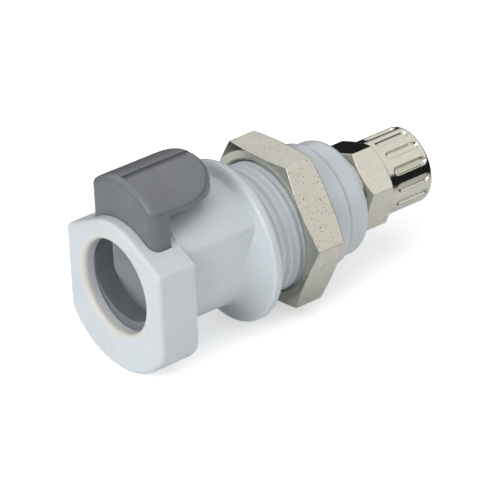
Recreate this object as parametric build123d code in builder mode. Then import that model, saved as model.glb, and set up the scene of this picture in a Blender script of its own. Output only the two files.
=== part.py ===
"""Panel-mount quick disconnect coupling body with a thumb latch, a panel nut and a compression tube nut.

Millimetres.  +X runs along the flow axis towards the tube, +Z is up, on the thumb latch's side.
The origin is on the flow axis at the flange's rear face, which seats on the panel's front.
"""
from build123d import *
import math
import os

os.makedirs("parts", exist_ok=True)

# ---------------------------------------------------------------- clearances
thread_clearance = 0.06          # radial, nut bore over thread crest
guide_clearance = 0.05           # radial, poppet stem in its guide
plug_clearance = 0.05            # radial, adapter plug in the body
spring_end_gap = 0.05            # each spring end to its seat
ring_seat_gap = 0.01             # seal rings to their seats
latch_side_clearance = 0.15      # latch plate to each wall of its slot
latch_face_clearance = 0.10      # latch plate to the slot's front and rear walls
stop_gap = 0.30                  # between a stop and what it stops, at rest
face_gap = 0.25                  # between faces of pieces that turn or slide past each other

# ---------------------------------------------------------------- coupling body, front block
front_length = 22.25             # flange rear face to front face
lip_thickness = 2.10
block_length = 6.85
block_half_width = 11.46
block_radius = 13.95             # round underside
block_corner_round = 4.0         # flat side into underside
roof_arch_radius = 10.80
roof_slope = 27.0                # degrees, flanks of the roof
shoulder_round = 1.1
front_edge_round = 0.8
lip_bore_radius = 7.60
lip_bore_round = 0.9
block_rear_round = 0.4

# ---------------------------------------------------------------- coupling body, barrel and flange
barrel_radius = 9.0
barrel_side_height = 6.7         # top of the flat sides above the axis
barrel_arch_radius = 11.15
barrel_edge_round = 1.2
flange_radius = 13.05
flange_thickness = 1.6
flange_rim_round = 0.5
flange_front_slant = 0.3
flare_radius = 3.6

# ---------------------------------------------------------------- coupling body, threaded barrel
thread_root_radius = 9.80
thread_crest_radius = 10.35
thread_pitch = 1.5
thread_start = 1.3
thread_end = 10.4
thread_crest_width = 0.35
thread_foot_width = 1.15
thread_sink = 0.12               # how far the ridge is rooted in the barrel
land_length = 0.8                # centring land next to the flange
land_rise = 0.02                 # land over thread crest, radial
tail_radius = 10.04              # plain barrel behind the thread
tail_front = 11.2
barrel_rear = 16.15
barrel_rear_chamfer = 0.5

# ---------------------------------------------------------------- flow path
socket_radius = 7.35             # takes the mating insert
socket_depth = 17.25             # front face to the socket's floor
orifice_radius = 4.3
chamber_radius = 6.4
chamber_front = 0.0

# ---------------------------------------------------------------- thumb latch
latch_travel = 2.1
plate_thickness = 3.3
plate_half_width = 7.7
ring_half_width = 8.8
shoulder_height = 4.7            # top of the wider ring, above the axis
ring_wall = 2.0
latch_hole_radius = 8.15
latch_hole_half_width = 7.35
pad_length = 14.9
pad_top = 17.5
pad_arch_radius = 10.8
pad_underside = 13.45
pad_end_round = 4.0
pad_rim_round = 1.0
plate_corner_round = 1.6
grip_groove_width = 1.7
grip_groove_depth = 0.45
grip_groove_front_gap = 0.9

# ---------------------------------------------------------------- latch spring
latch_spring_x = -11.6
latch_spring_radius = 1.55       # coil centre line
latch_wire = 0.36
latch_spring_turns = 6.0
spring_pocket_radius = 2.05
spring_pocket_floor = 8.45
spring_recess_depth = 1.4        # into the pad's underside

# ---------------------------------------------------------------- panel nut
panel_nut_across_flats = 24.0
panel_nut_thickness = 5.7
panel_nut_front = 6.02
panel_nut_turn = 57.05           # degrees, a corner's place from +Y towards +Z
panel_nut_chamfer_radius = 12.15
panel_nut_chamfer_angle = 14.0
panel_nut_bore_chamfer = 0.5

# ---------------------------------------------------------------- rear adapter
plug_front = 11.0
guide_wall = 2.0
guide_flow_hole_radius = 1.15
guide_flow_hole_circle = 3.75
guide_flow_holes = 6
plug_cavity_radius = 4.6
collar_radius = 9.4
collar_length = 4.54
collar_round = 2.0
collar_front_chamfer = 0.5
stem_thread_radius = 4.85
stem_thread_end = 27.6
cone_large_radius = 3.0
cone_small_radius = 2.15
cone_end = 30.9
stem_bore_radius = 1.6
ring_groove_x = 13.6
ring_groove_width = 1.7
ring_groove_depth = 1.25

# ---------------------------------------------------------------- seals
adapter_ring_wire_radius = 0.62
poppet_ring_wire_radius = 0.62
poppet_ring_radius = 4.95        # centre line

# ---------------------------------------------------------------- valve
poppet_travel = 3.4
poppet_nose_front = -4.6
poppet_nose_radius = 3.2
poppet_cross_web = 1.3
poppet_button_radius = 1.92       # flat the mating insert pushes on
poppet_button_thickness = 0.8
poppet_hub_step = 0.7            # hub stands proud of the head, inside the ring
poppet_head_front = 1.1
poppet_head_radius = 5.75
poppet_head_thickness = 1.6
poppet_stem_radius = 1.5
poppet_stem_end = 14.6
valve_spring_radius = 3.55       # coil centre line
valve_wire = 0.6
valve_spring_turns = 4.5

# ---------------------------------------------------------------- tube nut
tube_nut_across_flats = 12.6
tube_nut_turn = 105.6            # degrees, a corner's place from +Y towards +Z
tube_nut_neck_radius = 5.9
tube_nut_hex_front = 22.35
tube_nut_hex_rear = 27.35
tube_nut_end = 35.53
tube_nut_chamfer_angle = 30.0
tube_nut_barrel_radius = 6.22
flute_count = 14
flute_turn = 72.6                # degrees, first flute's place from +Y towards +Z
flute_floor_width = 0.85
flute_wall_slope = 35.0          # degrees, each wall's lean
flute_depth = 0.40
flute_front = 28.75              # ends of the flute's floor
flute_rear = 34.55
tube_nut_end_round = 0.5
tube_hole_radius = 3.3
tube_hole_length = 4.3

# ---------------------------------------------------------------- sizes that follow from those
front_x = -front_length
slot_front_x = front_x + lip_thickness
slot_length = plate_thickness + 2 * latch_face_clearance
slot_rear_x = slot_front_x + slot_length
block_rear_x = front_x + block_length
socket_floor_x = front_x + socket_depth
plate_front_x = slot_front_x + latch_face_clearance
collar_rear = barrel_rear + collar_length
plug_radius = chamber_radius - plug_clearance
guide_radius = poppet_stem_radius + guide_clearance
tube_nut_front = collar_rear + face_gap


def hexagon_corner_radius(across_flats):
    """Distance from a hexagon's centre to its corners."""
    return across_flats / (2 * math.cos(math.radians(30)))


def roof_points(half_width, arch_radius, slope, bottom):
    """Corners of a roof whose flanks touch an arch around the axis, as (y, z) pairs."""
    angle = math.radians(slope)
    touch_y = arch_radius * math.sin(angle)
    touch_z = arch_radius * math.cos(angle)
    eave_z = touch_z - (half_width - touch_y) * math.tan(angle)
    right = [(touch_y, touch_z), (half_width, eave_z), (half_width, bottom)]
    left = [(-y, z) for y, z in reversed(right)]
    return right + left


def block_outline():
    """The front block's outline: round underside, flat sides and an arched roof."""
    with BuildSketch() as outline:
        Polygon(*roof_points(block_half_width, roof_arch_radius, roof_slope, -block_radius), align=None)
        Circle(roof_arch_radius)
        Circle(block_radius, mode=Mode.INTERSECT)
        corners = outline.vertices().filter_by(lambda v: abs(abs(v.X) - block_half_width) < 0.01)
        fillet(corners.filter_by(lambda v: v.Y > 0), shoulder_round)
        lower = outline.vertices().filter_by(lambda v: v.Y < 0 and abs(abs(v.X) - block_half_width) < 0.01)
        fillet(lower, block_corner_round)
    return outline.sketch


def barrel_outline():
    """The barrel's outline: half round below, flat sides, arched top."""
    with BuildSketch() as outline:
        Circle(barrel_arch_radius)
        with Locations((0, barrel_arch_radius / 2)):
            Rectangle(2 * barrel_radius, barrel_arch_radius, mode=Mode.INTERSECT)
        Circle(barrel_radius)
        corners = outline.vertices().group_by(Axis.Y)[-1]
        fillet(corners, barrel_edge_round)
    return outline.sketch


def slot_outline():
    """The latch slot's outline: a neck through the roof over a wider chamber."""
    ring_radius = latch_hole_radius + ring_wall + stop_gap
    neck_bottom = shoulder_height + stop_gap
    neck_top = pad_top
    with BuildSketch() as outline:
        Circle(ring_radius)
        with Locations((0, (neck_bottom - ring_radius) / 2)):
            Rectangle(
                2 * (ring_half_width + latch_side_clearance),
                neck_bottom + ring_radius,
                mode=Mode.INTERSECT,
            )
        with Locations((0, neck_top / 2)):
            Rectangle(2 * (plate_half_width + latch_side_clearance), neck_top)
    return outline.sketch


def helix_ridge(radius, pitch, start, end, foot, crest, height):
    """A trapezoid carried along a right-hand helix about the flow axis, rooted inside `radius`."""
    with BuildPart() as ridge:
        with BuildLine() as path:
            Helix(pitch, end - start, radius, center=(start, 0, 0), direction=(1, 0, 0))
        start_plane = Plane(path.line @ 0, x_dir=(1, 0, 0), z_dir=path.line % 0)
        outward = 1 if start_plane.y_dir.dot(Vector(0, (path.line @ 0).Y, (path.line @ 0).Z)) > 0 else -1
        with BuildSketch(start_plane):
            Polygon(
                (-foot / 2, 0),
                (foot / 2, 0),
                (crest / 2, outward * height),
                (-crest / 2, outward * height),
                align=None,
            )
        sweep(is_frenet=True)
    return ridge.part


def coil(radius, wire, turns, length, origin, direction):
    """A round-wire compression spring from its first coil's middle to its last."""
    with BuildPart() as spring:
        with BuildLine() as path:
            Helix(length / turns, length, radius, center=origin, direction=direction)
        with BuildSketch(Plane(path.line @ 0, z_dir=path.line % 0)):
            Circle(wire / 2)
        sweep(is_frenet=True)
    return spring.part


# ================================================================ coupling body
thread_ridge = helix_ridge(
    thread_root_radius - thread_sink,
    thread_pitch,
    thread_start + thread_foot_width / 2,
    thread_end,
    thread_foot_width,
    thread_crest_width,
    thread_crest_radius - thread_root_radius + thread_sink,
)

with BuildPart() as coupling_body:
    with BuildSketch(Plane.YZ.offset(front_x)):
        add(block_outline())
    extrude(amount=block_length)
    front_rim = coupling_body.edges().group_by(Axis.X)[0]
    fillet(front_rim, front_edge_round)
    with BuildSketch(Plane.YZ.offset(block_rear_x)):
        add(barrel_outline())
    extrude(amount=-block_rear_x - flange_thickness / 2)

    with BuildSketch(Plane.XZ):
        with BuildLine():
            rim_front = -flange_thickness
            flare_x = rim_front - flare_radius
            flare_top = barrel_radius + flare_radius
            bend = flare_radius * math.sin(math.radians(45))
            Polyline((0, 0), (flare_x, 0), (flare_x, barrel_radius))
            ThreePointArc(
                (flare_x, barrel_radius),
                (flare_x + bend, flare_top - bend),
                (rim_front, flare_top),
            )
            Polyline(
                (rim_front, flare_top),
                (rim_front + flange_front_slant, flange_radius),
                (-flange_rim_round, flange_radius),
                (0, flange_radius - flange_rim_round / 2),
                (0, 0),
            )
        make_face()
    revolve(axis=Axis.X)

    with BuildSketch(Plane.YZ):
        Circle(thread_root_radius)
    extrude(amount=tail_front)
    with BuildSketch(Plane.YZ.offset(tail_front)):
        Circle(tail_radius)
    extrude(amount=barrel_rear - tail_front)
    rear_rim = coupling_body.edges().group_by(Axis.X)[-1]
    chamfer(rear_rim, barrel_rear_chamfer)
    add(thread_ridge)
    with BuildSketch(Plane.YZ):
        Circle(thread_crest_radius + land_rise)
    extrude(amount=land_length)

    with BuildSketch(Plane.YZ.offset(front_x)):
        Circle(lip_bore_radius)
    extrude(amount=lip_thickness + latch_face_clearance, mode=Mode.SUBTRACT)
    lip_bore_edge = coupling_body.edges().filter_by(GeomType.CIRCLE).filter_by(
        lambda e: abs(e.radius - lip_bore_radius) < 0.01
    ).group_by(Axis.X)[0]
    fillet(lip_bore_edge, lip_bore_round)
    with BuildSketch(Plane.YZ.offset(slot_front_x)):
        Circle(socket_radius)
    extrude(amount=socket_floor_x - slot_front_x, mode=Mode.SUBTRACT)
    with BuildSketch(Plane.YZ.offset(socket_floor_x)):
        Circle(orifice_radius)
    extrude(amount=chamber_front - socket_floor_x, mode=Mode.SUBTRACT)
    with BuildSketch(Plane.YZ.offset(chamber_front)):
        Circle(chamber_radius)
    extrude(amount=barrel_rear - chamber_front, mode=Mode.SUBTRACT)

    with BuildSketch(Plane.YZ.offset(slot_front_x)):
        add(slot_outline())
    extrude(amount=slot_length, mode=Mode.SUBTRACT)

    slot_corners = coupling_body.edges().filter_by(Axis.Z).filter_by(
        lambda e: abs(e.center().X - slot_front_x) < 0.01
        and abs(abs(e.center().Y) - plate_half_width - latch_side_clearance) < 0.01
    )
    fillet(slot_corners, plate_corner_round)

    with BuildSketch(Plane.XY.offset(spring_pocket_floor)):
        with Locations((latch_spring_x, 0)):
            Circle(spring_pocket_radius)
    extrude(amount=pad_top - spring_pocket_floor, mode=Mode.SUBTRACT)
coupling_body.part.label = "coupling_body"
export_step(coupling_body.part, "parts/coupling_body.step")

# ================================================================ thumb latch
hole_centre_z = latch_travel
hole_top_z = latch_travel + socket_radius + stop_gap
ring_radius = latch_hole_radius + ring_wall
pad_centre_z = pad_top - pad_arch_radius
plate_overlap = 0.2              # the plate reaches this far into the pad
pad_turn_x = plate_front_x + pad_length - plate_half_width
spring_recess_top = pad_underside + spring_recess_depth
pad_rim_z = pad_centre_z + math.sqrt(pad_arch_radius**2 - plate_half_width**2)
pad_end_bend = math.sqrt(pad_end_round**2 - (pad_top - pad_rim_z) ** 2)
pad_end_middle = math.atan2(pad_top - pad_rim_z, pad_end_bend) / 2
pad_end_centre = plate_half_width - pad_end_round

with BuildPart() as thumb_pad:
    with BuildSketch(Plane((pad_turn_x, 0, 0), x_dir=(1, 0, 0), z_dir=(0, -1, 0))):
        with BuildLine():
            Polyline(
                (pad_end_centre + pad_end_bend, pad_top),
                (0, pad_top),
                (0, pad_underside),
                (plate_half_width, pad_underside),
                (plate_half_width, pad_rim_z),
            )
            ThreePointArc(
                (plate_half_width, pad_rim_z),
                (
                    pad_end_centre + pad_end_round * math.cos(pad_end_middle),
                    pad_rim_z + pad_end_round * math.sin(pad_end_middle),
                ),
                (pad_end_centre + pad_end_bend, pad_top),
            )
        make_face()
    revolve(axis=Axis((pad_turn_x, 0, 0), (0, 0, 1)))
    with BuildSketch(Plane.XY.offset(pad_underside)):
        with Locations(((plate_front_x + pad_turn_x) / 2, 0)):
            Rectangle(pad_turn_x - plate_front_x, 2 * plate_half_width)
    extrude(amount=pad_top - pad_underside)
    with BuildSketch(Plane.YZ.offset(plate_front_x)):
        with Locations((0, pad_centre_z)):
            Circle(pad_arch_radius)
    extrude(amount=pad_length, mode=Mode.INTERSECT)

with BuildPart() as thumb_latch:
    with BuildSketch(Plane.YZ.offset(plate_front_x)):
        with Locations((0, hole_centre_z)):
            Circle(ring_radius)
        with Locations((0, (shoulder_height - ring_radius) / 2)):
            Rectangle(2 * ring_half_width, shoulder_height + ring_radius, mode=Mode.INTERSECT)
        with Locations((0, (pad_underside + plate_overlap) / 2)):
            Rectangle(2 * plate_half_width, pad_underside + plate_overlap)
    extrude(amount=plate_thickness)
    add(thumb_pad.part)
    front_corners = thumb_latch.edges().filter_by(Axis.Z).filter_by(
        lambda e: abs(abs(e.center().Y) - plate_half_width) < 0.01
        and abs(e.center().X - plate_front_x) < 0.01
    )
    fillet(front_corners, plate_corner_round)
    top_faces = thumb_latch.faces().filter_by(
        lambda f: f.normal_at().Z > 0.5 and f.center().Z > pad_underside + plate_overlap
    )
    top_rim = [
        e
        for face in top_faces
        for e in face.edges()
        if sum(e.is_same(other) for f in top_faces for other in f.edges()) == 1
    ]
    fillet(top_rim, pad_rim_round)
    with BuildSketch(Plane.YZ.offset(plate_front_x)):
        with Locations((0, hole_centre_z)):
            Circle(latch_hole_radius)
            Rectangle(2 * latch_hole_half_width, 2 * latch_hole_radius, mode=Mode.INTERSECT)
        with Locations((0, hole_top_z - latch_hole_half_width)):
            Circle(latch_hole_half_width)
    extrude(amount=plate_thickness, mode=Mode.SUBTRACT)
    with BuildSketch(Plane.XY.offset(spring_recess_top)):
        with Locations((latch_spring_x, 0)):
            Circle(spring_pocket_radius)
    extrude(amount=-spring_recess_depth, mode=Mode.SUBTRACT)
    with BuildSketch(Plane.XY.offset(pad_top - grip_groove_depth)):
        with Locations((plate_front_x + grip_groove_front_gap + pad_length / 2, 0)):
            Rectangle(pad_length, grip_groove_width)
    extrude(amount=grip_groove_depth, mode=Mode.SUBTRACT)
thumb_latch.part.label = "thumb_latch"
export_step(thumb_latch.part, "parts/thumb_latch.step")

# ================================================================ latch spring
latch_spring_length = spring_recess_top - spring_pocket_floor - latch_wire - 2 * spring_end_gap
with BuildPart() as latch_spring:
    add(
        coil(
            latch_spring_radius,
            latch_wire,
            latch_spring_turns,
            latch_spring_length,
            (latch_spring_x, 0, spring_pocket_floor + latch_wire / 2 + spring_end_gap),
            (0, 0, 1),
        )
    )
latch_spring.part.label = "latch_spring"
export_step(latch_spring.part, "parts/latch_spring.step")

# ================================================================ panel nut
panel_nut_bore = thread_crest_radius + thread_clearance
panel_nut_corner = hexagon_corner_radius(panel_nut_across_flats)


def chamfered_hexagon(across_flats, turn, front, rear, face_radius, angle, both_ends):
    """A hexagonal bar whose corners are turned off by a shallow cone at one end or both."""
    corner = hexagon_corner_radius(across_flats)
    drop = (corner - face_radius) * math.tan(math.radians(angle))
    with BuildPart() as bar:
        with BuildSketch(Plane.YZ.offset(front)):
            RegularPolygon(corner, 6, rotation=turn)
        extrude(amount=rear - front)
        with BuildSketch(Plane.XZ):
            rear_face = face_radius if both_ends else corner
            rear_drop = drop if both_ends else 0
            Polygon(
                (front, 0),
                (front, face_radius),
                (front + drop, corner),
                (rear - rear_drop, corner),
                (rear, rear_face),
                (rear, 0),
                align=None,
            )
        revolve(axis=Axis.X, mode=Mode.INTERSECT)
    return bar.part


with BuildPart() as panel_nut:
    add(
        chamfered_hexagon(
            panel_nut_across_flats,
            panel_nut_turn,
            panel_nut_front,
            panel_nut_front + panel_nut_thickness,
            panel_nut_chamfer_radius,
            panel_nut_chamfer_angle,
            both_ends=True,
        )
    )
    with BuildSketch(Plane.YZ.offset(panel_nut_front)):
        Circle(panel_nut_bore)
    extrude(amount=panel_nut_thickness, mode=Mode.SUBTRACT)
    bore_rims = panel_nut.edges().filter_by(GeomType.CIRCLE).filter_by(
        lambda e: abs(e.radius - panel_nut_bore) < 0.01
    )
    chamfer(bore_rims, panel_nut_bore_chamfer)
panel_nut.part.label = "panel_nut"
export_step(panel_nut.part, "parts/panel_nut.step")

# ================================================================ rear adapter
cavity_front = plug_front + guide_wall
cavity_rear = barrel_rear + collar_length / 2
cavity_taper = plug_cavity_radius - stem_bore_radius
with BuildPart() as rear_adapter:
    with BuildSketch(Plane.XZ):
        Polygon(
            (plug_front, 0),
            (plug_front, plug_radius),
            (barrel_rear, plug_radius),
            (barrel_rear, collar_radius - collar_front_chamfer),
            (barrel_rear + collar_front_chamfer, collar_radius),
            (collar_rear, collar_radius),
            (collar_rear, stem_thread_radius),
            (stem_thread_end, stem_thread_radius),
            (stem_thread_end, cone_large_radius),
            (cone_end, cone_small_radius),
            (cone_end, 0),
            align=None,
        )
    revolve(axis=Axis.X)
    collar_rim = rear_adapter.edges().filter_by(GeomType.CIRCLE).filter_by(
        lambda e: abs(e.radius - collar_radius) < 0.01
    ).group_by(Axis.X)[-1]
    fillet(collar_rim, collar_round)
    with BuildSketch(Plane.XZ):
        Polygon(
            (cavity_front, 0),
            (cavity_front, plug_cavity_radius),
            (cavity_rear - cavity_taper, plug_cavity_radius),
            (cavity_rear, stem_bore_radius),
            (cone_end, stem_bore_radius),
            (cone_end, 0),
            align=None,
        )
    revolve(axis=Axis.X, mode=Mode.SUBTRACT)
    with BuildSketch(Plane.YZ.offset(plug_front)):
        Circle(guide_radius)
        with PolarLocations(guide_flow_hole_circle, guide_flow_holes):
            Circle(guide_flow_hole_radius)
    extrude(amount=guide_wall, mode=Mode.SUBTRACT)
    with BuildSketch(Plane.YZ.offset(ring_groove_x - ring_groove_width / 2)):
        Circle(plug_radius)
        Circle(plug_radius - ring_groove_depth, mode=Mode.SUBTRACT)
    extrude(amount=ring_groove_width, mode=Mode.SUBTRACT)
rear_adapter.part.label = "rear_adapter"
export_step(rear_adapter.part, "parts/rear_adapter.step")

# ================================================================ seal rings
adapter_ring_radius = chamber_radius - adapter_ring_wire_radius - ring_seat_gap
with BuildPart() as adapter_seal_ring:
    with BuildSketch(Plane.XZ):
        with Locations((ring_groove_x, adapter_ring_radius)):
            Circle(adapter_ring_wire_radius)
    revolve(axis=Axis.X)
adapter_seal_ring.part.label = "adapter_seal_ring"
export_step(adapter_seal_ring.part, "parts/adapter_seal_ring.step")

poppet_ring_x = chamber_front + poppet_ring_wire_radius + ring_seat_gap
with BuildPart() as poppet_seal_ring:
    with BuildSketch(Plane.XZ):
        with Locations((poppet_ring_x, poppet_ring_radius)):
            Circle(poppet_ring_wire_radius)
    revolve(axis=Axis.X)
poppet_seal_ring.part.label = "poppet_seal_ring"
export_step(poppet_seal_ring.part, "parts/poppet_seal_ring.step")

# ================================================================ valve poppet
poppet_head_rear = poppet_head_front + poppet_head_thickness
poppet_ring_seat = poppet_ring_wire_radius + 2 * ring_seat_gap
with BuildPart() as valve_poppet:
    with BuildSketch(Plane.XZ):
        Polygon(
            (poppet_head_front - poppet_hub_step, 0),
            (poppet_head_front - poppet_hub_step, poppet_ring_radius - poppet_ring_seat),
            (poppet_ring_x + poppet_ring_seat, poppet_ring_radius - poppet_ring_seat),
            (poppet_ring_x + poppet_ring_seat, poppet_head_radius),
            (poppet_head_rear, poppet_head_radius),
            (poppet_head_rear, poppet_stem_radius),
            (poppet_stem_end, poppet_stem_radius),
            (poppet_stem_end, 0),
            align=None,
        )
    revolve(axis=Axis.X)
    with BuildSketch(Plane.YZ.offset(poppet_nose_front)):
        Rectangle(2 * poppet_nose_radius, poppet_cross_web)
        Rectangle(poppet_cross_web, 2 * poppet_nose_radius)
        Circle(poppet_nose_radius, mode=Mode.INTERSECT)
    extrude(amount=poppet_head_front - poppet_nose_front)
    with BuildSketch(Plane.YZ.offset(poppet_nose_front)):
        Circle(poppet_button_radius)
    extrude(amount=poppet_button_thickness)
valve_poppet.part.label = "valve_poppet"
export_step(valve_poppet.part, "parts/valve_poppet.step")

# ================================================================ valve spring
valve_spring_length = plug_front - poppet_head_rear - valve_wire - 2 * spring_end_gap
with BuildPart() as valve_spring:
    add(
        coil(
            valve_spring_radius,
            valve_wire,
            valve_spring_turns,
            valve_spring_length,
            (poppet_head_rear + valve_wire / 2 + spring_end_gap, 0, 0),
            (1, 0, 0),
        )
    )
valve_spring.part.label = "valve_spring"
export_step(valve_spring.part, "parts/valve_spring.step")

# ================================================================ tube nut
flute_floor_radius = tube_nut_barrel_radius - flute_depth
flute_middle_x = (flute_front + flute_rear) / 2
with BuildPart() as tube_nut:
    add(
        chamfered_hexagon(
            tube_nut_across_flats,
            tube_nut_turn,
            tube_nut_hex_front,
            tube_nut_hex_rear,
            tube_nut_barrel_radius,
            tube_nut_chamfer_angle,
            both_ends=True,
        )
    )
    with BuildSketch(Plane.YZ.offset(tube_nut_front)):
        Circle(tube_nut_neck_radius)
    extrude(amount=tube_nut_hex_front - tube_nut_front)
    with BuildSketch(Plane.YZ.offset(tube_nut_hex_front)):
        Circle(tube_nut_barrel_radius)
    extrude(amount=tube_nut_end - tube_nut_hex_front)
    end_rim = tube_nut.edges().filter_by(GeomType.CIRCLE).group_by(Axis.X)[-1]
    fillet(end_rim, tube_nut_end_round)
    for index in range(flute_count):
        turn = math.radians(flute_turn + index * 360 / flute_count)
        outward = Vector(0, math.cos(turn), math.sin(turn))
        floor_plane = Plane(
            Vector(flute_middle_x, 0, 0) + outward * flute_floor_radius,
            x_dir=(1, 0, 0),
            z_dir=outward,
        )
        with BuildSketch(floor_plane):
            SlotOverall(flute_rear - flute_front, flute_floor_width)
        extrude(amount=2 * flute_depth, taper=-flute_wall_slope, mode=Mode.SUBTRACT)
    with BuildSketch(Plane.XZ):
        thread_bore = stem_thread_radius + thread_clearance
        clamp_front = tube_nut_end - tube_hole_length
        Polygon(
            (tube_nut_front, 0),
            (tube_nut_front, thread_bore),
            (stem_thread_end + face_gap, thread_bore),
            (clamp_front, tube_hole_radius),
            (tube_nut_end, tube_hole_radius),
            (tube_nut_end, 0),
            align=None,
        )
    revolve(axis=Axis.X, mode=Mode.SUBTRACT)
tube_nut.part.label = "tube_nut"
export_step(tube_nut.part, "parts/tube_nut.step")
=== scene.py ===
"""Looks for a panel-mount quick disconnect coupling: finishes, springs, studio and camera."""
import math

import bpy
import numpy as np
from mathutils import Matrix, Vector


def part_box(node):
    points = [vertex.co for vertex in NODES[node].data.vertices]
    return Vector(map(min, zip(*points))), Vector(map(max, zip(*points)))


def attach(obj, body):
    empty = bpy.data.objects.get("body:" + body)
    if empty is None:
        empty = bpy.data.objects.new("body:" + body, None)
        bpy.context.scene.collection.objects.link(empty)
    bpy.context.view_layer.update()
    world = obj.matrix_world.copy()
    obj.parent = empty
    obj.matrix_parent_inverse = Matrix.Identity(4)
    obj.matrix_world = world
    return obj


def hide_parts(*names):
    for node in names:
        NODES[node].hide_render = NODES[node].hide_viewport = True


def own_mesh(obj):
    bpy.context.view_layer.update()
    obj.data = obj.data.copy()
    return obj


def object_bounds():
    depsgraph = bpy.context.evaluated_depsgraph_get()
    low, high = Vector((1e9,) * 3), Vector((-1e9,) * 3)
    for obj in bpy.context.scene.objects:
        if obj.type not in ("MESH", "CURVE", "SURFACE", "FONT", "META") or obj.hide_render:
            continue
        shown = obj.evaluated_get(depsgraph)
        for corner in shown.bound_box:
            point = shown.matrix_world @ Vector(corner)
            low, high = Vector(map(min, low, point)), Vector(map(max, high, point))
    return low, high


bl_info = {
    "name": "Quick Disconnect Coupling",
    "version": (1, 0, 0),
    "blender": (4, 5, 0),
    "location": "3D View > Sidebar > Coupling",
    "description": "Finishes, springs and studio for a panel-mount tube coupling",
    "category": "Object",
}

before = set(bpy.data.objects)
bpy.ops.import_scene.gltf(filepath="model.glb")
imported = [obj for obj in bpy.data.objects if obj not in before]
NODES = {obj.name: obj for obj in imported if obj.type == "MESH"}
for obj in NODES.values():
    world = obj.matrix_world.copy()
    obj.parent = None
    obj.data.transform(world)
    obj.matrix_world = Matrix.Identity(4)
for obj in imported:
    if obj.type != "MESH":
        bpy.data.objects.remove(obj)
CAD_LOW, CAD_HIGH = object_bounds()
MM = 0.001
EDGE_ROUND = 0.2 * MM
ENTRY_GLOW_RADII = (7.7 * MM, 9.0 * MM)        # painted glow of light through the bore's thin edge fades between these radii
ENTRY_GLOW_DEPTHS = (-21.6 * MM, -20.4 * MM)
NEAR_FLOOR = (0.045, 0.10)                # beyond this the floor looks dark in reflections
KEY_PLACE, KEY_SIZE = (-0.85, -0.16, 0.34), 0.6
FILL_PLACE, FILL_SIZE = (-0.05, -0.25, 0.90), 0.7


# ---------------------------------------------------------------- properties

class CouplingFinish(bpy.types.PropertyGroup):
    """Colours and surface values of the coupling's materials."""

    white_colour: bpy.props.FloatVectorProperty(
        name="White plastic", description="Colour of the moulded body and adapter",
        subtype="COLOR", size=3, min=0.0, max=1.0, default=(0.69, 0.735, 0.765))
    # painted glow: a warm colour that stands in for light shining through the thin plastic round the
    # socket's mouth
    entry_glow_colour: bpy.props.FloatVectorProperty(
        name="Bore entry", description="Warm tint of the thin edge round the socket's mouth",
        subtype="COLOR", size=3, min=0.0, max=1.0, default=(0.80, 0.74, 0.63))
    white_roughness: bpy.props.FloatProperty(
        name="White roughness", description="Gloss of the white plastic",
        min=0.0, max=1.0, default=0.30, subtype="FACTOR")
    grey_colour: bpy.props.FloatVectorProperty(
        name="Grey plastic", description="Colour of the thumb latch",
        subtype="COLOR", size=3, min=0.0, max=1.0, default=(0.185, 0.193, 0.203))
    grey_roughness: bpy.props.FloatProperty(
        name="Grey roughness", description="Gloss of the grey plastic",
        min=0.0, max=1.0, default=0.30, subtype="FACTOR")
    nickel_colour: bpy.props.FloatVectorProperty(
        name="Nickel", description="Reflection colour of the nickel plate",
        subtype="COLOR", size=3, min=0.0, max=1.0, default=(0.69, 0.67, 0.585))
    milled_roughness: bpy.props.FloatProperty(
        name="Milled roughness", description="Gloss of the panel nut",
        min=0.0, max=1.0, default=0.22, subtype="FACTOR")
    bright_roughness: bpy.props.FloatProperty(
        name="Bright roughness", description="Gloss of the tube nut",
        min=0.0, max=1.0, default=0.10, subtype="FACTOR")
    steel_colour: bpy.props.FloatVectorProperty(
        name="Spring wire", description="Reflection colour of the spring wire",
        subtype="COLOR", size=3, min=0.0, max=1.0, default=(0.58, 0.58, 0.57))
    rubber_colour: bpy.props.FloatVectorProperty(
        name="Seal rubber", description="Colour of the seal rings",
        subtype="COLOR", size=3, min=0.0, max=1.0, default=(0.022, 0.022, 0.024))


class SpringSizes(bpy.types.PropertyGroup):
    """Sizes of the two wire springs."""

    latch_wire: bpy.props.FloatProperty(
        name="Latch wire", description="Wire diameter of the latch spring",
        default=0.36 * MM, min=0.1 * MM, max=1 * MM, unit="LENGTH", precision=5)
    latch_turns: bpy.props.FloatProperty(
        name="Latch turns", description="Open turns of the latch spring",
        default=6.0, min=2.0, max=12.0)
    valve_wire: bpy.props.FloatProperty(
        name="Valve wire", description="Wire diameter of the valve spring",
        default=0.6 * MM, min=0.1 * MM, max=1 * MM, unit="LENGTH", precision=5)
    valve_turns: bpy.props.FloatProperty(
        name="Valve turns", description="Open turns of the valve spring",
        default=4.5, min=2.0, max=12.0)


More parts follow.
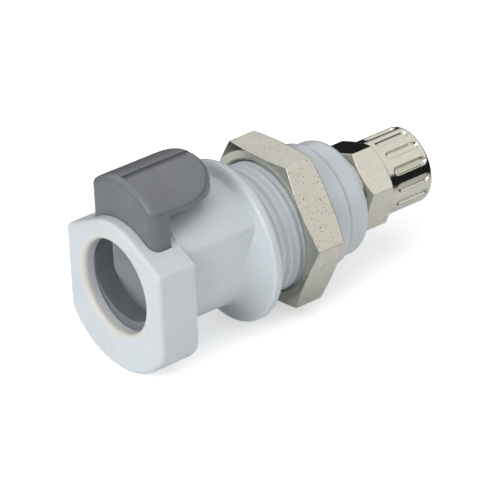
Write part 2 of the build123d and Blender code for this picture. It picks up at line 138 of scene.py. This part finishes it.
class StudioSettings(bpy.types.PropertyGroup):
    """The floor, the light and the camera."""

    floor_drop: bpy.props.FloatProperty(
        name="Floor drop", description="How far the floor lies under the coupling",
        default=0.05 * MM, min=0.0, max=0.2, unit="LENGTH", precision=5)
    floor_size: bpy.props.FloatProperty(
        name="Floor size", description="Width of the floor", default=4.0, min=0.5, max=20.0, unit="LENGTH")
    floor_glow: bpy.props.FloatProperty(
        name="Floor glow", description="How much whiter the floor looks to the camera",
        default=0.45, min=0.0, max=1.0)
    room_level: bpy.props.FloatProperty(
        name="Room light", description="Strength of the even light from all round",
        default=0.55, min=0.0, max=2.0)
    key_power: bpy.props.FloatProperty(
        name="Key light", description="Power of the lamp before the socket",
        default=4.0, min=0.0, unit="POWER")
    fill_power: bpy.props.FloatProperty(
        name="Fill light", description="Power of the lamp above the coupling",
        default=1.4, min=0.0, unit="POWER")
    skyline: bpy.props.FloatProperty(
        name="Skyline", description="Height at which the dark wall in the reflections ends", default=0.37,
        min=0.0, max=1.0)
    azimuth: bpy.props.FloatProperty(
        name="Azimuth", description="The camera's bearing round the coupling",
        default=math.radians(-37.338), subtype="ANGLE")
    elevation: bpy.props.FloatProperty(
        name="Elevation", description="The camera's height above the horizon",
        default=math.radians(29.563), subtype="ANGLE")
    roll: bpy.props.FloatProperty(
        name="Roll", description="The camera's turn about its own view",
        default=math.radians(-2.505), subtype="ANGLE")
    distance: bpy.props.FloatProperty(
        name="Distance", description="Camera to the aimed point, along the view", default=0.616992, min=0.1,
        unit="LENGTH")
    lens: bpy.props.FloatProperty(
        name="Lens", description="Focal length on a 36 mm sensor", default=289.645, min=20.0, max=500.0)
    target_x: bpy.props.FloatProperty(
        name="Target", description="Place on the flow axis that the camera is aimed from", default=6.45 * MM,
        unit="LENGTH", precision=5)
    aim: bpy.props.FloatVectorProperty(
        name="Aim", description="How far the target lies right of and above the view's middle",
        size=2, default=(1.966 * MM, 3.911 * MM), unit="LENGTH", precision=5)


# ---------------------------------------------------------------- shader building

class Value:
    """A shader socket that can be used in Python arithmetic; each operator adds one Math node."""

    def __init__(self, shading, socket):
        self.shading = shading
        self.socket = socket

    def math(self, operation, *others, first=None):
        """Adds a Math node of that operation on this value and the others."""
        terms = (self, *others) if first is None else (first, self)
        return self.shading.add("ShaderNodeMath", {"operation": operation}, dict(enumerate(terms)))

    def __add__(self, other):
        return self.math("ADD", other)

    def __sub__(self, other):
        return self.math("SUBTRACT", other)

    def __mul__(self, other):
        return self.math("MULTIPLY", other)

    def __rsub__(self, other):
        return self.math("SUBTRACT", first=other)

    __radd__ = __add__
    __rmul__ = __mul__

    def step(self, low, high):
        """0 below low and 1 above high, with a smooth rise between."""
        settings = {"interpolation_type": "SMOOTHSTEP"}
        return self.shading.add("ShaderNodeMapRange", settings, {0: self, 1: low, 2: high, 3: 0.0, 4: 1.0})


class Shading:
    """A material's or the world's node tree, built by naming node types, settings and inputs."""

    def __init__(self, owner, output):
        self.owner = owner
        owner.use_nodes = True
        self.tree = owner.node_tree
        self.tree.nodes.clear()
        self.output = self.tree.nodes.new(output)

    @classmethod
    def paint(cls, name):
        """A new, empty material."""
        return cls(bpy.data.materials.new(name), "ShaderNodeOutputMaterial")

    def node(self, kind, settings, inputs):
        """Adds a node, sets its settings first and then its inputs."""
        node = self.tree.nodes.new(kind)
        for key, value in settings.items():
            setattr(node, key, value)
        for key, value in inputs.items():
            self.feed(node.inputs[key], value)
        return node

    def add(self, kind, settings, inputs, output=0):
        """Adds a node and wraps one of its outputs."""
        return Value(self, self.node(kind, settings, inputs).outputs[output])

    def feed(self, socket, value):
        """Links a wrapped value to a socket, or sets the socket's own number or colour."""
        if isinstance(value, Value):
            self.tree.links.new(value.socket, socket)
        elif isinstance(value, (tuple, list)) and len(value) == 3 and socket.type == "RGBA":
            socket.default_value = (*value, 1.0)
        else:
            socket.default_value = value

    def place(self):
        """Object coordinates, in metres, as a vector."""
        return self.add("ShaderNodeTexCoord", {}, {}, "Object")

    def axes(self, vector):
        """The three numbers of a vector."""
        node = self.node("ShaderNodeSeparateXYZ", {}, {0: vector})
        return [Value(self, socket) for socket in node.outputs]

    def facing(self):
        """The surface normal's three numbers in object space."""
        normal = self.add("ShaderNodeNewGeometry", {}, {}, "Normal")
        return self.axes(normal)

    def scaled(self, vector, scale):
        """A vector multiplied axis by axis."""
        return self.add("ShaderNodeVectorMath", {"operation": "MULTIPLY"}, {0: vector, 1: scale})

    def noise(self, vector, scale, detail=3.0, roughness=0.5):
        """Fractal noise from 0 to 1."""
        inputs = {"Vector": vector, "Scale": scale, "Detail": detail, "Roughness": roughness}
        return self.add("ShaderNodeTexNoise", {}, inputs, "Fac")

    def mix(self, factor, first, second):
        """A colour between two others."""
        settings = {"data_type": "RGBA", "blend_type": "MIX"}
        return self.add("ShaderNodeMix", settings, {0: factor, 6: first, 7: second}, 2)

    def bump(self, height, strength, distance, normal=None):
        """A normal tilted by a height field."""
        inputs = {"Height": height, "Strength": strength, "Distance": distance}
        if normal is not None:
            inputs["Normal"] = normal
        return self.add("ShaderNodeBump", {}, inputs)

    def soft_edges(self):
        """The normal rounded over a fifth of a millimetre at sharp edges."""
        return self.add("ShaderNodeBevel", {"samples": 6}, {"Radius": EDGE_ROUND})

    def surface(self, **inputs):
        """Ends the material in a Principled surface with those inputs."""
        names = {key.replace("_", " "): value for key, value in inputs.items()}
        shader = self.add("ShaderNodeBsdfPrincipled", {}, names)
        return self.finish(shader)

    def finish(self, shader):
        """Ends the tree in a shader."""
        self.feed(self.output.inputs["Surface"], shader)
        return self.owner


def shade(colour, factor):
    """A colour made darker or lighter by a factor."""
    return tuple(min(1.0, channel * factor) for channel in colour)


def white_acetal(finish):
    """Satin white moulding: flow marks, cloudy tone, a fine skin and a painted glow of light through the
    thin edge at the bore.
    """
    s = Shading.paint("white_acetal")
    place = s.place()
    cloud = s.noise(place, 90.0, 4.0, 0.55)
    flow = s.noise(s.scaled(place, (0.35, 1.0, 1.0)), 420.0, 3.0, 0.6)
    skin = s.noise(place, 5200.0, 2.0, 0.5)
    x, y, z = s.axes(place)
    radius = (y * y + z * z).math("SQRT")
    # painted glow: the bore's thin rim is tinted warm where light would shine through the plastic
    entry = (1.0 - radius.step(*ENTRY_GLOW_RADII)) * (1.0 - x.step(*ENTRY_GLOW_DEPTHS))
    colour = tuple(finish.white_colour)
    tone = s.mix((cloud * 0.7 + flow * 0.3).step(0.35, 0.68), shade(colour, 0.965), shade(colour, 1.02))
    # the painted glow is mixed into the plastic's colour here
    tone = s.mix(entry * 0.6, tone, tuple(finish.entry_glow_colour))
    height = cloud * 0.5 + flow * 0.12 + skin * 0.035
    return s.surface(
        Base_Color=tone,
        Roughness=finish.white_roughness + (flow - 0.5) * 0.16,
        Normal=s.bump(height, 0.35, 0.0002),
        Subsurface_Weight=0.18,
        Subsurface_Radius=(1.0, 0.95, 0.9),
        Subsurface_Scale=0.0012,
        IOR=1.48,
    )


def grey_acetal(finish):
    """Satin grey moulding with a faint cloud, drawn flow lines and small scuffs."""
    s = Shading.paint("grey_acetal")
    place = s.place()
    cloud = s.noise(place, 160.0, 4.0, 0.6)
    flow = s.noise(s.scaled(place, (0.25, 1.0, 1.0)), 700.0, 4.0, 0.6)
    skin = s.noise(place, 6500.0, 2.0, 0.5)
    scuff = s.noise(s.scaled(place, (1.0, 0.12, 1.0)), 2600.0, 2.0, 0.4).step(0.62, 0.75)
    colour = tuple(finish.grey_colour)
    tone = s.mix(cloud.step(0.3, 0.7), shade(colour, 0.93), shade(colour, 1.06))
    tone = s.mix(scuff * 0.12, tone, shade(colour, 1.7))
    height = cloud * 0.4 + flow * 0.1 + skin * 0.05
    return s.surface(
        Base_Color=tone,
        Roughness=finish.grey_roughness + (flow - 0.5) * 0.14 + scuff * 0.05,
        Normal=s.bump(height, 0.35, 0.0002),
        IOR=1.48,
    )


def milled_nickel(finish):
    """Nickel over machined brass: rings on turned faces, cutter lines and pits on milled flats."""
    s = Shading.paint("milled_nickel")
    place = s.place()
    _, y, z = s.axes(place)
    facing_x = s.facing()[0].math("ABSOLUTE")
    turned = facing_x.step(0.72, 0.9)
    radius = (y * y + z * z).math("SQRT")
    rings = s.add("ShaderNodeCombineXYZ", {}, {0: radius, 1: 0.0, 2: 0.0})
    ring_marks = s.noise(rings, 9000.0, 3.0, 0.6)
    mill_marks = s.noise(s.scaled(place, (0.22, 1.0, 1.0)), 2100.0, 4.0, 0.65)
    pits = s.noise(place, 2900.0, 2.0, 0.5).step(0.62, 0.72)
    patches = s.noise(place, 260.0, 4.0, 0.6)
    milled = 1.0 - turned
    colour = tuple(finish.nickel_colour)
    tone = s.mix(patches.step(0.3, 0.7), shade(colour, 0.94), shade(colour, 1.04))
    tone = s.mix(pits * milled * 0.55, tone, shade(colour, 0.35))
    height = ring_marks * turned * 0.3 + mill_marks * milled * 0.5 - pits * milled * 0.7
    return s.surface(
        Base_Color=tone,
        Metallic=1.0,
        Roughness=finish.milled_roughness + patches * 0.1 - 0.05 + pits * milled * 0.25,
        Normal=s.bump(height, 0.4, 0.00004, s.soft_edges()),
    )


def bright_nickel(finish):
    """Polished nickel plate: an even mirror with soft ripples and a few fine marks."""
    s = Shading.paint("bright_nickel")
    place = s.place()
    ripple = s.noise(place, 520.0, 3.0, 0.5)
    haze = s.noise(place, 1500.0, 4.0, 0.6)
    marks = s.noise(s.scaled(place, (0.15, 1.0, 1.0)), 3800.0, 2.0, 0.5).step(0.66, 0.8)
    colour = tuple(finish.nickel_colour)
    tone = s.mix(haze.step(0.3, 0.75), shade(colour, 0.96), shade(colour, 1.05))
    tone = s.mix(marks * 0.25, tone, shade(colour, 0.6))
    return s.surface(
        Base_Color=tone,
        Metallic=1.0,
        Roughness=finish.bright_roughness + haze * 0.06 + marks * 0.12,
        Normal=s.bump(ripple * 0.8 + marks * 0.1, 0.3, 0.00005, s.soft_edges()),
    )


def spring_steel(finish):
    """Drawn stainless wire with lengthwise die marks."""
    s = Shading.paint("spring_steel")
    place = s.place()
    drawn = s.noise(place, 3000.0, 3.0, 0.6)
    colour = tuple(finish.steel_colour)
    return s.surface(
        Base_Color=s.mix(drawn, shade(colour, 0.85), shade(colour, 1.1)),
        Metallic=1.0,
        Roughness=0.26 + drawn * 0.12,
        Normal=s.bump(drawn, 0.3, 0.00003),
    )


def black_rubber(finish):
    """Moulded black seal rubber with a dusty bloom."""
    s = Shading.paint("black_rubber")
    place = s.place()
    bloom = s.noise(place, 1200.0, 4.0, 0.6)
    colour = tuple(finish.rubber_colour)
    return s.surface(
        Base_Color=s.mix(bloom.step(0.4, 0.8), colour, shade(colour, 2.0)),
        Roughness=0.5 + bloom * 0.2,
        Normal=s.bump(bloom, 0.25, 0.00005),
    )


def dress(node, material):
    """Gives a CAD node its material."""
    mesh = NODES[node].data
    mesh.materials.clear()
    mesh.materials.append(material)


# ---------------------------------------------------------------- wire springs

def coil_mesh(name, radius, wire, turns, low, high, centre, axis):
    """A ground-ended compression spring as one closed tube.

    The wire's middle is c(t) = (R cos t, R sin t, h(t)), where h rises slowly over the closed
    first and last turns and evenly between; a circle of the wire's radius is carried along it in
    the plane of the outward direction and their common normal.
    """
    around, along = 14, int(64 * (turns + 2))
    t = np.linspace(0.0, 2 * math.pi * (turns + 2), along)
    lap = t / (2 * math.pi)
    total = turns + 2
    heights = [0.0, wire, high - low - 2 * wire, high - low - wire]
    shape = np.interp(lap, [0.0, 1.0, total - 1.0, total], heights)
    rise = low + wire / 2 + shape
    middle = np.stack([radius * np.cos(t), radius * np.sin(t), rise], axis=1)
    tangent = np.gradient(middle, axis=0)
    tangent /= np.linalg.norm(tangent, axis=1)[:, None]
    outward = np.stack([np.cos(t), np.sin(t), np.zeros_like(t)], axis=1)
    side = np.cross(tangent, outward)
    side /= np.linalg.norm(side, axis=1)[:, None]
    a = np.linspace(0.0, 2 * math.pi, around, endpoint=False)
    ring = outward[:, None] * np.cos(a)[None, :, None] + side[:, None] * np.sin(a)[None, :, None]
    points = (middle[:, None] + ring * wire / 2).reshape(-1, 3)
    points = np.vstack([points, middle[0], middle[-1]])
    if axis == "X":
        points = points[:, [2, 0, 1]]
    points = points + np.array(centre)
    i = np.arange(along - 1)[:, None] * around
    j = np.arange(around)[None, :]
    k = (j + 1) % around
    quads = np.stack([i + j, i + around + j, i + around + k, i + k], axis=-1).reshape(-1, 4)
    first, last = along * around, along * around + 1
    end = (along - 1) * around
    ring_a = np.arange(around)
    ring_b = (ring_a + 1) % around
    cap_low = np.stack([np.full(around, first), ring_a, ring_b], axis=1)
    cap_high = np.stack([np.full(around, last), end + ring_b, end + ring_a], axis=1)
    mesh = bpy.data.meshes.new(name)
    mesh.from_pydata(points.tolist(), [], quads.tolist() + cap_low.tolist() + cap_high.tolist())
    mesh.shade_smooth()
    mesh.update()
    piece = bpy.data.objects.new(name, mesh)
    bpy.context.scene.collection.objects.link(piece)
    return piece


# ---------------------------------------------------------------- operators

class COUPLING_OT_plastics(bpy.types.Operator):
    """Finish the moulded plastic pieces"""

    bl_idname = "coupling.plastics"
    bl_label = "Plastic pieces"

    def execute(self, context):
        finish = context.scene.coupling_finish
        white = white_acetal(finish)
        for node in ("coupling_body", "rear_adapter", "valve_poppet"):
            dress(node, white)
        dress("thumb_latch", grey_acetal(finish))
        return {"FINISHED"}


class COUPLING_OT_nuts(bpy.types.Operator):
    """Finish the two plated nuts"""

    bl_idname = "coupling.nuts"
    bl_label = "Plated nuts"

    def execute(self, context):
        finish = context.scene.coupling_finish
        dress("panel_nut", milled_nickel(finish))
        dress("tube_nut", bright_nickel(finish))
        return {"FINISHED"}


class COUPLING_OT_seals(bpy.types.Operator):
    """Finish the rubber seal rings"""

    bl_idname = "coupling.seals"
    bl_label = "Seal rings"

    def execute(self, context):
        rubber = black_rubber(context.scene.coupling_finish)
        dress("adapter_seal_ring", rubber)
        dress("poppet_seal_ring", rubber)
        return {"FINISHED"}


class COUPLING_OT_springs(bpy.types.Operator):
    """Wind the latch spring and the valve spring"""

    bl_idname = "coupling.springs"
    bl_label = "Springs"

    def execute(self, context):
        sizes = context.scene.coupling_springs
        steel = spring_steel(context.scene.coupling_finish)
        low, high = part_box("latch_spring")
        middle = (low + high) / 2
        latch = coil_mesh(
            "latch_spring_coil", (high.x - low.x - sizes.latch_wire) / 2, sizes.latch_wire,
            sizes.latch_turns - 2, low.z, high.z, (middle.x, middle.y, 0.0), "Z")
        latch.data.materials.append(steel)
        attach(latch, "coupling_body")
        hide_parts("latch_spring")
        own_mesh(latch)
        low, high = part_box("valve_spring")
        middle = (low + high) / 2
        valve = coil_mesh(
            "valve_spring_coil", (high.y - low.y - sizes.valve_wire) / 2, sizes.valve_wire,
            sizes.valve_turns - 1.5, low.x, high.x, (0.0, middle.y, middle.z), "X")
        valve.data.materials.append(steel)
        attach(valve, "coupling_body")
        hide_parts("valve_spring")
        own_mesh(valve)
        return {"FINISHED"}


def pale_room(world, studio):
    """Even light from all round, white behind the object, and a dark wall low down in the reflections."""
    s = Shading(world, "ShaderNodeOutputWorld")
    height = s.axes(s.add("ShaderNodeTexCoord", {}, {}, "Generated"))[2]
    above = height.step(studio.skyline - 0.14, studio.skyline + 0.02)
    wall = s.mix(above, (0.012, 0.012, 0.014), (0.93, 0.93, 0.92))
    path = s.node("ShaderNodeLightPath", {}, {})
    camera = Value(s, path.outputs["Is Camera Ray"])
    mirror = Value(s, path.outputs["Is Glossy Ray"])
    even = s.add("ShaderNodeBackground", {}, {0: (0.97, 0.985, 1.0), 1: studio.room_level})
    reflected = s.add("ShaderNodeBackground", {}, {0: wall, 1: 1.0})
    white = s.add("ShaderNodeBackground", {}, {0: (1.0, 1.0, 1.0), 1: 1.0})
    lit = s.add("ShaderNodeMixShader", {}, {0: mirror, 1: even, 2: reflected})
    s.finish(s.add("ShaderNodeMixShader", {}, {0: camera, 1: lit, 2: white}))


def floor_paper(studio):
    """Pale paper that keeps shadows; its far part looks dark in reflections, like the room's wall."""
    s = Shading.paint("floor_paper")
    grain = s.noise(s.place(), 60.0, 3.0, 0.5)
    tone = s.mix(grain, (0.92, 0.92, 0.92), (0.95, 0.95, 0.95))
    paper = s.add("ShaderNodeBsdfDiffuse", {}, {"Color": tone, "Roughness": 0.9})
    glow = s.add("ShaderNodeEmission", {}, {"Color": (1.0, 1.0, 1.0), "Strength": studio.floor_glow})
    lifted = s.add("ShaderNodeAddShader", {}, {0: paper, 1: glow})
    dark = s.add("ShaderNodeBsdfDiffuse", {}, {"Color": (0.02, 0.02, 0.022)})
    x, y, _ = s.axes(s.place())
    far = (x * x + y * y).math("SQRT").step(*NEAR_FLOOR)
    path = s.node("ShaderNodeLightPath", {}, {})
    camera = Value(s, path.outputs["Is Camera Ray"])
    mirror = Value(s, path.outputs["Is Glossy Ray"])
    seen = s.add("ShaderNodeMixShader", {}, {0: mirror * far, 1: paper, 2: dark})
    return s.finish(s.add("ShaderNodeMixShader", {}, {0: camera, 1: seen, 2: lifted}))


def area_light(name, place, target, size, power):
    """A square soft light at a place, facing a target."""
    lamp = bpy.data.lights.new(name, "AREA")
    lamp.shape = "SQUARE"
    lamp.size = size
    lamp.energy = power
    holder = bpy.data.objects.new(name, lamp)
    holder.location = place
    holder.rotation_euler = (Vector(target) - Vector(place)).to_track_quat("-Z", "Y").to_euler()
    bpy.context.scene.collection.objects.link(holder)


def studio_camera(studio, target):
    """A camera on the stated bearing whose view's middle lies off the target by the stated aim."""
    a, e, r = studio.azimuth, studio.elevation, studio.roll
    back = Vector((math.sin(a) * math.cos(e), -math.cos(a) * math.cos(e), math.sin(e)))
    level = Vector((math.cos(a), math.sin(a), 0.0))
    upright = back.cross(level)
    right = level * math.cos(r) + upright * math.sin(r)
    up = upright * math.cos(r) - level * math.sin(r)
    place = target + back * studio.distance - right * studio.aim[0] - up * studio.aim[1]
    data = bpy.data.cameras.new("camera")
    data.sensor_width = 36.0
    data.lens = studio.lens
    data.clip_start, data.clip_end = 0.01, 20.0
    camera = bpy.data.objects.new("camera", data)
    turn = Matrix((right, up, back)).transposed()
    camera.matrix_world = Matrix.Translation(place) @ turn.to_4x4()
    bpy.context.scene.collection.objects.link(camera)
    bpy.context.scene.camera = camera


class COUPLING_OT_stage(bpy.types.Operator):
    """Set up the floor, the lights and the camera"""

    bl_idname = "coupling.stage"
    bl_label = "Studio"

    def execute(self, context):
        studio = context.scene.coupling_studio
        scene = context.scene
        scene.view_settings.view_transform = "Standard"
        half = studio.floor_size / 2
        level = CAD_LOW.z - studio.floor_drop
        mesh = bpy.data.meshes.new("floor")
        corners = [(-half, -half, level), (half, -half, level), (half, half, level), (-half, half, level)]
        mesh.from_pydata(corners, [], [(0, 1, 2, 3)])
        floor = bpy.data.objects.new("floor", mesh)
        scene.collection.objects.link(floor)
        mesh.materials.append(floor_paper(studio))
        scene.world = scene.world or bpy.data.worlds.new("room")
        pale_room(scene.world, studio)
        middle = (CAD_LOW + CAD_HIGH) / 2
        area_light("key", KEY_PLACE, middle, KEY_SIZE, studio.key_power)
        area_light("fill", FILL_PLACE, middle, FILL_SIZE, studio.fill_power)
        studio_camera(studio, Vector((studio.target_x, 0.0, 0.0)))
        return {"FINISHED"}


class COUPLING_PT_panel(bpy.types.Panel):
    """Lists the coupling's operators and settings"""

    bl_idname = "COUPLING_PT_panel"
    bl_label = "Quick disconnect coupling"
    bl_space_type = "VIEW_3D"
    bl_region_type = "UI"
    bl_category = "Coupling"

    def draw(self, context):
        for operator in OPERATORS:
            self.layout.operator(operator.bl_idname)
        for name in SETTINGS:
            group = getattr(context.scene, name)
            box = self.layout.box()
            for key in group.__annotations__:
                box.prop(group, key)


SETTINGS = {
    "coupling_finish": CouplingFinish,
    "coupling_springs": SpringSizes,
    "coupling_studio": StudioSettings,
}
OPERATORS = (
    COUPLING_OT_plastics,
    COUPLING_OT_nuts,
    COUPLING_OT_seals,
    COUPLING_OT_springs,
    COUPLING_OT_stage,
)


def register():
    """Registers the settings, the operators and the panel."""
    for name, group in SETTINGS.items():
        bpy.utils.register_class(group)
        setattr(bpy.types.Scene, name, bpy.props.PointerProperty(type=group))
    for operator in OPERATORS:
        bpy.utils.register_class(operator)
    bpy.utils.register_class(COUPLING_PT_panel)


def unregister():
    """Takes the panel, the operators and the settings away again."""
    bpy.utils.unregister_class(COUPLING_PT_panel)
    for operator in reversed(OPERATORS):
        bpy.utils.unregister_class(operator)
    for name, group in SETTINGS.items():
        delattr(bpy.types.Scene, name)
        bpy.utils.unregister_class(group)


def main():
    register()
    for operator in OPERATORS:
        group, name = operator.bl_idname.split(".")
        getattr(getattr(bpy.ops, group), name)()


if __name__ == "__main__":
    main()
